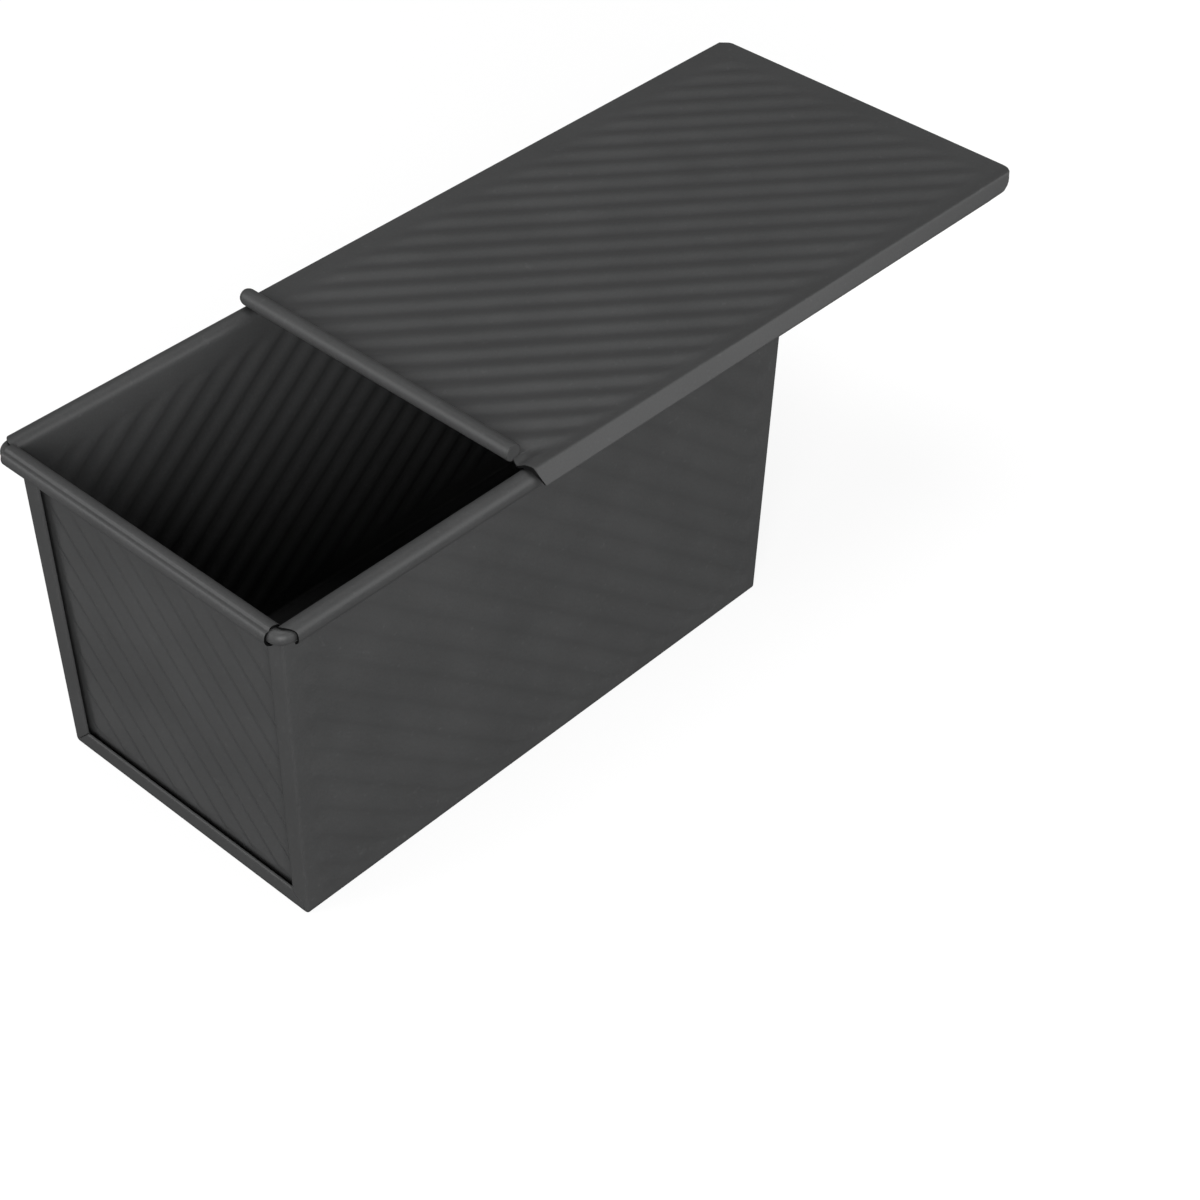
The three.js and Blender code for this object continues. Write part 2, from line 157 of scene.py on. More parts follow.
GROOVE_EASE = 0.1  # the rise's soft step reaches this share of a wave past both its ends
CUT_SLANT = 2.4  # a side curl's cut end runs this much further towards the corner on the pan's side
CUT_RISE = (30.0, 110.0)  # degrees round the curl between which the slant comes
CUT_FALL = (140.0, 170.0)  # and goes

# Looks of the lid that only the scene has
LID_WAVE_DEPTH = 1.05
LID_FADE_LEFT = 8.0  # flat margins of the lid on the +Y side, the -Y side and at the rear
LID_FADE_RIGHT = 2.6
LID_FADE_REAR = 8.0
LID_FADE_IN = 4.0  # the waves start to die out this far before a margin
LID_FADE_OUT = 2.0  # and are gone this far into it, or at its start on the -Y side
LID_FRONT = 1.5  # flat part behind the bead's middle
LID_FADE_FRONT = 3.5
LID_UPTURN = 0.5  # the lid's -Y margin rises this much towards its bend
UPTURN_LEVEL = 0.25  # share of that margin that is level again
UPTURN_ROUND = 1.5  # radii of the rise, the bend and the lip's fold
BEND_ROUND = 0.6
LIP_ROUND = 0.5
LID_DIP = 1.1  # the front edge sags beside the bead's -Y end
DIP_PAST = 2.2  # middle of the sag, outwards from the bead's end
DIP_WIDTH = 1.6
DIP_REACH = 10.0  # how far back from the front edge it is felt
LID_LIFT = 0.3  # the front edge lifts over the -Y rim
LIFT_WIDTH = 1.8
LID_UNDERCUT = 0.9  # the cut edge beside the bead slants forwards under the sheet, so that its near-black painted shade shows as a dark wedge
UNDERCUT_FULL = 1.0  # most within this of its middle
UNDERCUT_SHIFT = 1.0  # which lies this far outwards from halfway between bead and flange
LID_LEAD = 0.8  # and that edge stands this much further forwards
LEAD_LEAST = 0.5  # shortest lead of a row without the bead
FLANGE_SLANT = 1.4  # the front end of each flange slants back this much on its way down
BEND_SPLAY = 3.2  # towards the rear the -Y bend lies up to this much further out
FLANGE_SPLAY = 1.8  # and the flange's edge this much
SPLAY_REACH = 12.0
CORNER_LOOK = 5.5  # radius of the lid's rear corners on the flange
CORNER_CUT = 2.9  # taken off the rear edge at the lid's corners
CORNER_FULL = 1.0  # fully from this far below the bend down
CORNER_FADE = 3.5  # and less and less over this much of the lid's top
BEAD_TURN = 345.0
BEAD_TIP = 0.05  # share of the bead's radius that is left at the tip of its rounded end
CAP_STEP = 0.1  # how far the plate in the bead's square end stands out, and its softened rim

# Finish
COAT_GREY = 0.05
COAT_ROUGHNESS = 0.4
COAT_SHINE = 0.17
# near-black cut edges: painted shade for the dark gaps where the sheets end and meet
CUT_SHADE_GREY = 0.005
CUT_ROUGHNESS = 0.6
CUT_SHINE = 0.02
TINT = (0.99, 1.0, 1.005)
NOISE_LOW = 0.3  # where nearly all of a noise lies
NOISE_HIGH = 0.7
CLOUD_SCALE = 38
CLOUD_TONE = 0.06
CLOUD_ROUGHNESS = 0.05
GRAIN_SCALE = 1500
GRAIN_TONE = 0.1
GRAIN_ROUGHNESS = 0.04
GRAIN_BUMP = 0.3
GRAIN_HEIGHT = 0.00003  # metres
SPECK_SCALE = 520
SPECK_START = 0.68  # only the top of this noise shows, as specks
SPECK_FULL = 0.8
SPECK_TONE = 1.22
PEEL_SCALE = 700
PEEL_BUMP = 0.35
PEEL_HEIGHT = 0.00006
CREVICE_SHADE_REACH = 0.003  # painted shade: the colour is darkened in folds, grooves and gaps narrower than this
CREVICE_SHADE_OPEN = (0.15, 0.85)  # openness between which that painted shade fades out
CREVICE_SHADE_TONE = 0.35
LINE_SCALE = 6000  # drawn lines of the bare wire, stretched along it
LINE_STRETCH = 0.02
STEEL_GREY = (0.36, 0.5)
STEEL_ROUGHNESS = (0.3, 0.45)


def smooth(x, low, high):
    """0 below low, 1 above high, with a soft step between."""
    t = np.clip((x - low) / (high - low), 0, 1)
    return t * t * (3 - 2 * t)


def steps(start, end, spacing):
    """Even values from start to end, about that far apart."""
    count = max(1, math.ceil(abs(end - start) / spacing))
    return [start + (end - start) * i / count for i in range(count + 1)]


def half_width(z):
    return BASE_WIDTH / 2 + side_lean * z


def wave(across):
    """A rounded square wave along a distance across the corrugations: 1 in a trough, -1 on a crest."""
    c = np.cos(2 * math.pi * across / WAVE_PITCH)
    return c * math.sqrt(1 + WAVE_FLATNESS ** 2) / np.sqrt(c * c + WAVE_FLATNESS ** 2)


def ridges(across):
    """A wave of even slopes from -1 to 1."""
    phase = np.mod(across / WAVE_PITCH, 1.0)
    return 1 - 4 * np.abs(phase - 0.5)


def groove(across):
    """A lopsided wave from -1 to 1: a long slow rise, then a short fall."""
    phase = np.mod(across / WAVE_PITCH, 1.0)
    turn = 1 - GROOVE_SHARE
    rise, low, high = (smooth(p, -GROOVE_EASE, turn + GROOVE_EASE) for p in (phase, 0.0, turn))
    fall = smooth(phase, turn, 1.0)
    return 2 * ((rise - low) / (high - low)).clip(0, 1) * (1 - fall) - 1


def bump_at(distance, width):
    """1 at no distance, fading to both sides."""
    return np.exp(-(distance / width) ** 2)


# Meshes

def new_piece(name, mesh, body, slot, *nodes):
    piece = bpy.data.objects.new(name, mesh)
    bpy.context.scene.collection.objects.link(piece)
    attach(piece, body)
    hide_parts(*nodes)
    return piece


def shell(name, outer, inner, keep=None):
    """A closed sheet between two grids of points in millimetres. Its cut edges take the second material,
    which here paints them near-black as shade.
    """
    rows, cols = outer.shape[:2]
    if keep is None:
        keep = np.ones((rows - 1, cols - 1), bool)
    index = np.arange(rows * cols).reshape(rows, cols)
    under = rows * cols
    quads = []
    edges = {}
    for i, j in zip(*np.nonzero(keep)):
        quad = (index[i, j], index[i, j + 1], index[i + 1, j + 1], index[i + 1, j])
        quads.append(quad)
        for a, b in zip(quad, quad[1:] + quad[:1]):
            if (b, a) in edges:
                del edges[b, a]
            else:
                edges[a, b] = True
    faces = [tuple(int(v) for v in quad) for quad in quads]
    faces += [tuple(int(v) + under for v in reversed(quad)) for quad in quads]
    sides = [(int(b), int(a), int(a) + under, int(b) + under) for a, b in edges]
    points = np.concatenate([outer.reshape(-1, 3), inner.reshape(-1, 3)]) * MM
    mesh = bpy.data.meshes.new(name)
    mesh.from_pydata(points.tolist(), [], faces + sides)
    for polygon in mesh.polygons:
        polygon.material_index = 1 if polygon.index >= len(faces) else 0
    return tidied(mesh)


def tidied(mesh):
    """Merges points that coincide, drops unused ones, turns faces outwards and shades by angle."""
    bm = bmesh.new()
    bm.from_mesh(mesh)
    bmesh.ops.delete(bm, geom=[v for v in bm.verts if not v.link_faces], context="VERTS")
    bmesh.ops.remove_doubles(bm, verts=bm.verts, dist=MERGE_DISTANCE)
    bmesh.ops.dissolve_degenerate(bm, edges=bm.edges, dist=MERGE_DISTANCE / 10)
    bmesh.ops.recalc_face_normals(bm, faces=bm.faces)
    for face in bm.faces:
        face.smooth = True
    bm.to_mesh(mesh)
    bm.free()
    mesh.set_sharp_from_angle(angle=SHARP_ANGLE)
    return mesh


def offset_path(points, distance):
    """An open path of 2-D points moved sideways to its left."""
    before = np.vstack([points[:1], points[:-1]])
    after = np.vstack([points[1:], points[-1:]])
    way = after - before
    way /= np.linalg.norm(way, axis=1)[:, None]
    left = np.stack([-way[:, 1], way[:, 0]], axis=1)
    return points + left * distance


# The wrap: base, both side walls, end strips and side curls in one sheet

def wrap_rows():
    """From the middle of the base up one side and round the wire: (kind, value) of each row."""
    rows = [("base", g) for g in steps(0, 1, GRID / (BASE_WIDTH / 2))]
    rows += [("bend", a) for a in steps(-90, 0, BEND_STEP)[1:-1]]
    rows += [("wall", f) for f in steps(0, 1, GRID / STRIP_TOP)]
    rows += [("top", z) for z in steps(STRIP_TOP, RIM_HEIGHT, GRID)[1:]]
    rows += [("curl", a) for a in steps(180, SIDE_CURL_END, SIDE_CURL_STEP)[1:]]
    return rows


def past_bend(inset):
    """0 within the bend at the base's edge, 1 further in on a strip."""
    return smooth(inset, BEND_RADIUS, BEND_RADIUS + MITRE_FADE)


def wrap_section(kind, value, inset):
    """(y, z) of a row of the wrap at distances inwards from its outer face."""
    inset = np.asarray(inset, float)
    corner = np.maximum(BEND_RADIUS, inset)
    gap = MITRE_GAP * past_bend(inset)
    if kind == "base":
        return value * (BASE_WIDTH / 2 - corner - gap), inset
    if kind == "bend":
        angle = math.radians(value)
        radius = np.maximum(BEND_RADIUS - inset, 0)
        return BASE_WIDTH / 2 - corner + radius * math.cos(angle), corner + radius * math.sin(angle)
    if kind == "wall":
        z = corner + gap + value * (STRIP_TOP - corner - gap)
        return half_width(z) - inset, z
    if kind == "top":
        return half_width(value) - inset, np.full(inset.shape, value)
    angle = math.radians(value)
    radius = curl_radius - SHEET + inset
    return wire_half_width + radius * math.cos(angle), RIM_HEIGHT + radius * math.sin(angle)


def flap_columns():
    """Across a strip from its hidden edge to the wall: (inset, distance back), outside and inside."""
    outside = [(STRIP_WIDTH, HEM_BACK)]
    inside = [(STRIP_WIDTH - SHEET, HEM_BACK)]
    middle = STRIP_WIDTH - HEM_BEND
    small = HEM_BEND - SHEET
    for angle in np.radians(steps(90, 0, HEM_STEP)):
        outside.append((middle + HEM_BEND * math.sin(angle), HEM_BEND * (1 - math.cos(angle))))
        inside.append((middle + small * math.sin(angle), HEM_BEND - small * math.cos(angle)))
    for inset in steps(middle, EDGE_BEND, GRID)[1:-1]:
        outside.append((inset, 0))
        inside.append((inset, SHEET))
    small = EDGE_BEND - SHEET
    for angle in np.radians(steps(90, 0, BEND_STEP)):
        outside.append((EDGE_BEND * (1 - math.cos(angle)), EDGE_BEND * (1 - math.sin(angle))))
        inside.append((EDGE_BEND - small * math.cos(angle), EDGE_BEND - small * math.sin(angle)))
    return np.array(outside), np.array(inside)


def wall_wave(x, z, side):
    """How far a side wall's corrugation stands outwards."""
    low, high, end = BEND_RADIUS + WALL_FOOT, RIM_HEIGHT - WALL_HEAD, panel_face - WALL_END
    across = -side * x * math.sin(WAVE_ANGLE) + (z - low) * math.cos(WAVE_ANGLE)
    fade = smooth(z, low, low + WALL_FADE_FOOT) * (1 - smooth(z, high - WALL_FADE_HEAD, high))
    fade *= 1 - smooth(np.abs(x), end - WALL_FADE_END, end)
    return -WAVE_DEPTH / 2 * wave(across) * fade


def base_wave(x, y):
    """How far the base's corrugation rises."""
    across = x * math.sin(WAVE_ANGLE) - y * math.cos(WAVE_ANGLE)
    edge_x, edge_y = panel_face - BASE_END, BASE_WIDTH / 2 - BASE_SIDE
    fade = 1 - smooth(np.abs(x), edge_x - BASE_FADE, edge_x)
    fade *= 1 - smooth(np.abs(y), edge_y - BASE_FADE, edge_y)
    return BASE_WAVE_DEPTH / 2 * (1 - wave(across)) * fade


def wrap_row(kind, value, side, flaps, along):
    """Outer and inner points of one row, from the near end's strip to the far end's."""
    layers = []
    for thickness, flap in zip((0, SHEET), flaps):
        flat = np.full(len(along), float(thickness))
        y, z = wrap_section(kind, value, flat)
        if kind == "curl":
            half = side_curl_half + CUT_SLANT * smooth(value, *CUT_RISE) * (1 - smooth(value, *CUT_FALL))
        elif kind == "top":
            half = side_curl_half
        else:
            half = BASE_LENGTH / 2 + end_lean * z - EDGE_BEND
        x = along * half
        if kind in ("wall", "top"):
            y, z = wrap_section(kind, value, thickness - wall_wave(x, z, side))
        if kind == "base":
            y, z = wrap_section(kind, value, thickness + base_wave(x, side * y))
        mitre = MITRE_DEPTH * past_bend(flap[:, 0]) if kind == "bend" else 0
        flap_y, flap_z = wrap_section(kind, value, flap[:, 0])
        reach = BASE_LENGTH / 2 + end_lean * flap_z - flap[:, 1] - mitre
        row_x = np.concatenate([-reach, x[1:-1], reach[::-1]])
        row_y = side * np.concatenate([flap_y, y[1:-1], flap_y[::-1]])
        row_z = np.concatenate([flap_z, z[1:-1], flap_z[::-1]])
        if kind in ("top", "curl"):
            edge = len(flap) - 1
            row_x[edge], row_x[-edge - 1] = x[0], x[-1]
        layers.append(np.stack([row_x, row_y, row_z], axis=1))
    return layers


def body_wrap():
    flaps = flap_columns()
    along = np.array(steps(-1, 1, GRID / (BASE_LENGTH / 2)))
    half = wrap_rows()
    rows = [(kind, value, -1) for kind, value in reversed(half)]
    rows += [(kind, value, 1) for kind, value in half[1:]]
    points = [wrap_row(kind, value, side, flaps, along) for kind, value, side in rows]
    outer = np.array([p[0] for p in points])
    inner = np.array([p[1] for p in points])
    keep = np.ones((len(rows) - 1, outer.shape[1] - 1), bool)
    edge = len(flaps[0]) - 1
    folded = ("base", "bend", "wall")
    for i in range(len(rows) - 1):
        if rows[i][0] not in folded or rows[i + 1][0] not in folded:
            keep[i, :edge] = False
            keep[i, -edge:] = False
    mesh = shell("body_wrap", outer, inner, keep)
    return new_piece("pan_wrap", mesh, "pan", "coated_sheet", "body_wrap")


# An end panel: corrugated field, neck and curl

def panel_path():
    """Inside face of an end panel in (distance out from its foot, z), and how many points are flat."""
    path = [(0, z) for z in steps(2 * SHEET, NECK_START, PANEL_GRID)]
    flat = len(path)
    for z in steps(NECK_START, RIM_HEIGHT, NECK_GRID)[1:]:
        path.append((NECK_REACH * float(smooth(z, NECK_START, RIM_HEIGHT)), z))
    for angle in steps(0, 180 - END_CURL_END, END_CURL_STEP)[1:]:
        turn = math.radians(angle)
        out = NECK_REACH + curl_radius * (1 - math.cos(turn))
        path.append((out, RIM_HEIGHT + curl_radius * math.sin(turn)))
    return np.array(path), flat


def panel_wave(y, z):
    """How far an end's corrugation stands outwards: broad bands with narrow grooves between them."""
    across = y * math.cos(WAVE_ANGLE) - (z - NECK_START / 2) * math.sin(WAVE_ANGLE)
    inset = half_width(z) - np.abs(y)
    edge, head = STRIP_WIDTH + PANEL_EDGE, NECK_START - PANEL_HEAD
    fade = smooth(inset, edge, edge + PANEL_FADE) * smooth(z, edge, edge + PANEL_FADE)
    fade *= 1 - smooth(z, head - PANEL_FADE_HEAD, head)
    return GROOVE_DEPTH / 2 * groove(across) * fade


def end_panel(name, node, turn):
    path, flat = panel_path()
    outside = offset_path(path * (-1, 1), SHEET) * (-1, 1)
    across = np.array(steps(-1, 1, PANEL_GRID / end_curl_half))
    z = path[:, 1]
    rolled = path[:, 0] > NECK_REACH + TOLERANCE
    reach = np.where(z > STRIP_TOP, half_width(z) - SHEET - NECK_GAP, half_width(z) - 2 * SHEET)
    reach[rolled] = end_curl_half
    y = reach[:, None] * across
    bulge = panel_wave(y, z[:, None]) * (np.arange(len(path)) < flat)[:, None]
    # The line pressed into the curl
    angle = np.degrees(np.arctan2(z - RIM_HEIGHT, NECK_REACH + curl_radius - path[:, 0]))
    dip = CREASE_DEPTH * bump_at(angle - CREASE_ANGLE, CREASE_WIDTH) * (z > RIM_HEIGHT)
    centre = np.array([NECK_REACH + curl_radius, RIM_HEIGHT])
    inside = path + dip[:, None] * (centre - path) / curl_radius
    grids = []
    for face in (outside, inside):
        out = panel_face + end_lean * face[:, 1:2] + face[:, :1] + bulge
        height = np.repeat(face[:, 1:2], len(across), axis=1)
        grids.append(np.stack([-turn * out, turn * y, height], axis=2))
    return new_piece(name, shell(name, *grids), "pan", "coated_sheet", node)


# Wires

def tube(name, points, radius, sides, closed):
    """A round rod along points in millimetres, on a level line or loop, of one radius or one per point."""
    points = np.array(points, float)
    if closed:
        way = np.roll(points, -1, axis=0) - np.roll(points, 1, axis=0)
    else:
        way = np.gradient(points, axis=0)
    way /= np.linalg.norm(way, axis=1)[:, None]
    level = np.cross(way, (0, 0, 1))
    turn = np.arange(sides) * 2 * math.pi / sides
    ring = level[:, None] * np.cos(turn)[None, :, None] + np.array([0, 0, 1]) * np.sin(turn)[None, :, None]
    grid = points[:, None] + np.broadcast_to(radius, len(points))[:, None, None] * ring
    count = len(points)
    faces = []
    for i in range(count if closed else count - 1):
        for j in range(sides):
            k, n = (i + 1) % count, (j + 1) % sides
            faces.append((i * sides + j, i * sides + n, k * sides + n, k * sides + j))
    if not closed:
        faces.append(tuple(range(sides)))
        faces.append(tuple(range((count - 1) * sides, count * sides)))
    mesh = bpy.data.meshes.new(name)
    mesh.from_pydata((grid.reshape(-1, 3) * MM).tolist(), [], faces)
    return tidied(mesh)


def rim_wire():
    points = []
    x, y = wire_half_length - WIRE_CORNER, wire_half_width - WIRE_CORNER
    corners = [(x, y), (-x, y), (-x, -y), (x, -y)]
    for quarter, (cx, cy) in enumerate(corners):
        for angle in np.radians(steps(quarter * 90, quarter * 90 + 90, WIRE_STEP)):
            px = cx + WIRE_CORNER * math.cos(angle)
            py = cy + WIRE_CORNER * math.sin(angle)
            points.append((px, py, RIM_HEIGHT))
    mesh = tube("rim_wire", points, WIRE_RADIUS, RIM_WIRE_SIDES, True)
    return new_piece("pan_wire", mesh, "pan", "coated_wire", "rim_wire")


def bead_wire():
    along = steps(-bead_right + 2 * SHEET, bead_left - bead_radius, BEAD_GRID)
    points = [(bead_x + LID_DRAWN, y, bead_z) for y in along]
    mesh = tube("bead_wire", points, BEAD_WIRE_RADIUS, BEAD_WIRE_SIDES, False)
    return new_piece("lid_wire", mesh, "lid", "bare_wire", "lid_bead_wire")


# The lid

def rounded(points, radii):
    """A path of 2-D points with its inner corners rounded."""
    points = [np.array(p, float) for p in points]
    path = [points[0]]
    for before, corner, after, radius in zip(points, points[1:], points[2:], radii):
        one = (before - corner) / np.linalg.norm(before - corner)
        two = (after - corner) / np.linalg.norm(after - corner)
        opening = math.acos(np.clip(one @ two, -1, 1))
        reach = radius / math.tan(opening / 2)
        start, end = corner + one * reach, corner + two * reach
        count = max(2, math.ceil(math.degrees(math.pi - opening) / ROUND_STEP))
        for t in np.linspace(0, 1, count + 1):
            path.append((1 - t) ** 2 * start + 2 * t * (1 - t) * corner + t * t * end)
    path.append(points[-1])
    return np.array(path)


def divided(path, longest):
    """The path with points added along its long straights."""
    points = [path[0]]
    for start, end in zip(path, path[1:]):
        count = math.ceil(np.linalg.norm(end - start) / longest)
        for i in range(count):
            points.append(start + (end - start) * (i + 1) / count)
    return np.array(points)


def lid_side(upturn):
    """Top of the lid from the start of its margin outwards, down the flange and back under the rim."""
    corners = [
        (bend_y - LID_FADE_RIGHT, lid_top),
        (bend_y - UPTURN_LEVEL * LID_FADE_RIGHT, lid_top + upturn),
        (bend_y, lid_top + upturn),
        (flange_y, flange_z),
        (flange_y - LIP_WIDTH * math.cos(LIP_SLOPE), flange_z - LIP_WIDTH * math.sin(LIP_SLOPE)),
    ]
    return divided(rounded(corners, (UPTURN_ROUND, BEND_ROUND, LIP_ROUND)), GRID)


def lid_wave(x, y):
    """How far the lid's corrugation rises, with x measured from the lid's middle."""
    across = x * math.sin(WAVE_ANGLE) + y * math.cos(WAVE_ANGLE)
    rear = lid_half - LID_FADE_REAR
    left, right = bend_y - LID_FADE_LEFT, bend_y - LID_FADE_RIGHT
    front = bead_x + LID_FRONT
    fade = smooth(x, front, front + LID_FADE_FRONT) * (1 - smooth(x, rear - LID_FADE_IN, rear + LID_FADE_OUT))
    fade *= 1 - smooth(y, left - LID_FADE_IN, left + LID_FADE_OUT)
    fade *= 1 - smooth(-y, right - LID_FADE_OUT, right)
    return LID_WAVE_DEPTH / 2 * ridges(across) * fade


def beside_bead(y):
    """1 just outside the bead's -Y end, fading to both sides."""
    return bump_at(y + bead_right + DIP_PAST, DIP_WIDTH)


def lid_dip(x, y):
    """How far the front edge sags beside the bead's -Y end and lifts over the rim next to it."""
    over_rim = bump_at(y + wire_half_width, LIFT_WIDTH)
    near_front = 1 - smooth(x, channel_front, channel_front + DIP_REACH)
    return (LID_LIFT * over_rim - LID_DIP * beside_bead(y)) * near_front


def lid_rows():
    """Top face of the lid across its width, as (y, z) rows from the -Y lip to the +Y lip."""
    right = lid_side(LID_UPTURN)
    left = lid_side(0.0)
    cap = [bead_left - bead_radius * (1 - math.sin(a)) for a in np.radians(steps(0, 90, BEND_STEP))]
    crown = steps(-right[0, 0], left[0, 0], GRID)[1:-1]
    rows = [(-y, z) for y, z in right[::-1]]
    rows += [(y, lid_top) for y in crown]
    rows += [(y, z) for y, z in left]
    rows = np.array(rows)
    # Rows at the two ends of the bead, and on its rounded left end
    bottom, top = np.argmin(rows[:, 0]), np.argmax(rows[:, 0])
    crown = rows[bottom:top + 1]
    extra = [-bead_right - PLAY, -bead_right, *cap]
    added = [[y, np.interp(y, crown[:, 0], crown[:, 1])] for y in extra]
    crown = np.array(sorted(crown.tolist() + added))
    keep = np.ones(len(crown), bool)
    keep[1:] = np.diff(crown[:, 0]) > ROW_GAP
    return np.vstack([rows[:bottom], crown[keep], rows[top + 1:]])


def lid_sheet():
    rows = lid_rows()
    y, z = rows[:, 0], rows[:, 1]
    count = len(rows)
    order = np.arange(count)
    under = offset_path(rows, -SHEET)
    lip = (order < np.argmin(y)) | (order > np.argmax(y))
    beaded = (y > -bead_right - TOLERANCE) & (y < bead_left + TOLERANCE) & ~lip

    # Where each row starts and stops
    lead_end = bead_x + BEAD_LEAD
    along = np.append(0, np.cumsum(np.hypot(np.diff(y), np.diff(z))))
    from_edge = np.minimum(along - along[np.argmin(y)], along[np.argmax(y)] - along)
    past = np.clip(CORNER_LOOK - from_edge, 0, CORNER_LOOK)
    rear = lid_half - CORNER_LOOK + np.sqrt(CORNER_LOOK ** 2 - past ** 2)
    flange_width = math.hypot(flange_y - bend_y, lid_top - flange_z)
    rear -= CORNER_CUT * (1 - smooth(from_edge, flange_width - CORNER_FULL, flange_width + CORNER_FADE))
    down = np.clip(1 - from_edge / flange_width, 0, 1)
    front = channel_front - LID_LEAD * beside_bead(y)
    front += FLANGE_SLANT * down
    front = np.where(y > 0, lead_end, front)
    front = np.where(beaded, bead_x, front)
    rear = np.where(lip, lid_half - LIP_SETBACK, rear)
    front = np.where(lip, channel_front + LIP_SETBACK, front)

    splay = BEND_SPLAY * smooth(-y, bend_y - SPLAY_REACH, bend_y)
    splay = np.where(down > 0, BEND_SPLAY + (FLANGE_SPLAY - BEND_SPLAY) * down, splay) * (y < 0)
    middle = (bead_right + flange_y) / 2 + UNDERCUT_SHIFT
    from_middle = np.abs(y + middle)
    undercut = LID_UNDERCUT * (1 - smooth(from_middle, UNDERCUT_FULL, flange_y - middle)) * ~(lip | beaded)

    # Columns: round the bead, along the flat lead, then over the field
    roll = np.radians(steps(-90 - BEAD_TURN, -90, BEAD_STEP)[:-1])
    lead = np.array(steps(0, 1, LEAD_STEP))
    field = np.array(steps(0, 1, GRID / (2 * lid_half)))[1:]
    cap = np.clip((y - (bead_left - bead_radius)) / bead_radius, 0, 1)
    shrink = np.sqrt(np.clip(1 - cap ** 2, BEAD_TIP ** 2, 1))[:, None]

    grids = []
    for face, radius in ((rows, bead_radius - SHEET), (under, bead_radius)):
        fy, fz = face[:, :1], face[:, 1:]
        start = front[:, None]
        if radius == bead_radius:
            start = start - undercut[:, None]
        x_lead = start + lead * (np.maximum(lead_end, start + LEAD_LEAST) - start)
        x_field = x_lead[:, -1:] + field * (rear[:, None] - x_lead[:, -1:])
        on_bead = beaded[:, None]
        x_roll = np.where(on_bead, bead_x + shrink * radius * np.cos(roll), start)
        z_roll = np.where(on_bead, bead_z + shrink * radius * np.sin(roll), fz)
        bead_level = bead_z - shrink * radius
        blend = np.where(on_bead, smooth(lead, 0, 1), 1.0)
        z_lead = bead_level + (fz - bead_level) * blend
        x = np.hstack([x_roll, x_lead, x_field])
        flat = np.hstack([z_roll, z_lead, np.repeat(fz, len(field), axis=1)])
        share = (x + lid_half) / (2 * lid_half)
        wide = fy - splay[:, None] * share
        rise = lid_wave(x, wide) + np.where(on_bead, 0.0, lid_dip(x, wide))
        rise[:, :len(roll)] = 0
        grids.append(np.stack([x + LID_DRAWN, wide, flat + rise], axis=2))

    keep = np.ones((count - 1, grids[0].shape[1] - 1), bool)
    for i in range(count - 1):
        if not (beaded[i] and beaded[i + 1]):
            keep[i, :len(roll)] = False
    mesh = shell("lid_sheet", *grids, keep)
    return new_piece("lid_panel", mesh, "lid", "coated_sheet", "lid_sheet")


def bead_cap():
    """The plate that closes the bead's square end, with a softened rim."""
    end = -bead_right - CAP_STEP
    inside = bead_radius - CAP_STEP / 2
    sections = [(end, inside - CAP_STEP), (end + CAP_STEP, inside), (end + SHEET, inside)]
    points = [(bead_x + LID_DRAWN, y, bead_z) for y, _ in sections]
    mesh = tube("bead_cap", points, [radius for _, radius in sections], CAP_SIDES, False)
    return new_piece("lid_bead_cap", mesh, "lid", "coated_sheet")


# Materials

class Nodes:
    """A short way to add and link shader nodes."""

    def __init__(self, name):
        self.material = bpy.data.materials.new(name)
        self.material.use_nodes = True
        self.tree = self.material.node_tree
        self.shader = self.tree.nodes["Principled BSDF"]

    def add(self, kind, values=(), **settings):
        node = self.tree.nodes.new(kind)
        for key, value in settings.items():
            setattr(node, key, value)
        for socket, value in dict(values).items():
            self.set(node, socket, value)
        return node

    def set(self, node, socket, value):
        target = node.inputs[socket]
        if isinstance(value, bpy.types.NodeSocket):
            self.tree.links.new(value, target)
        else:
            target.default_value = value

    def noise(self, place, scale, detail=2.0, roughness=0.5):
        values = {"Vector": place, "Scale": scale, "Detail": detail, "Roughness": roughness}
        return self.add("ShaderNodeTexNoise", values).outputs["Fac"]

    def ranged(self, value, low, high, new_low, new_high):
        values = {"Value": value, "From Min": low, "From Max": high, "To Min": new_low, "To Max": new_high}
        return self.add("ShaderNodeMapRange", values).outputs["Result"]

    def around(self, noise, middle, spread):
        """A noise turned into values up to that far from the middle."""
        return self.ranged(noise, NOISE_LOW, NOISE_HIGH, middle - spread, middle + spread)

    def maths(self, operation, first, second):
        return self.add("ShaderNodeMath", {0: first, 1: second}, operation=operation).outputs[0]

    def grey(self, tone):
        values = {"Red": tone, "Green": tone, "Blue": tone}
        return self.add("ShaderNodeCombineColor", values).outputs["Color"]


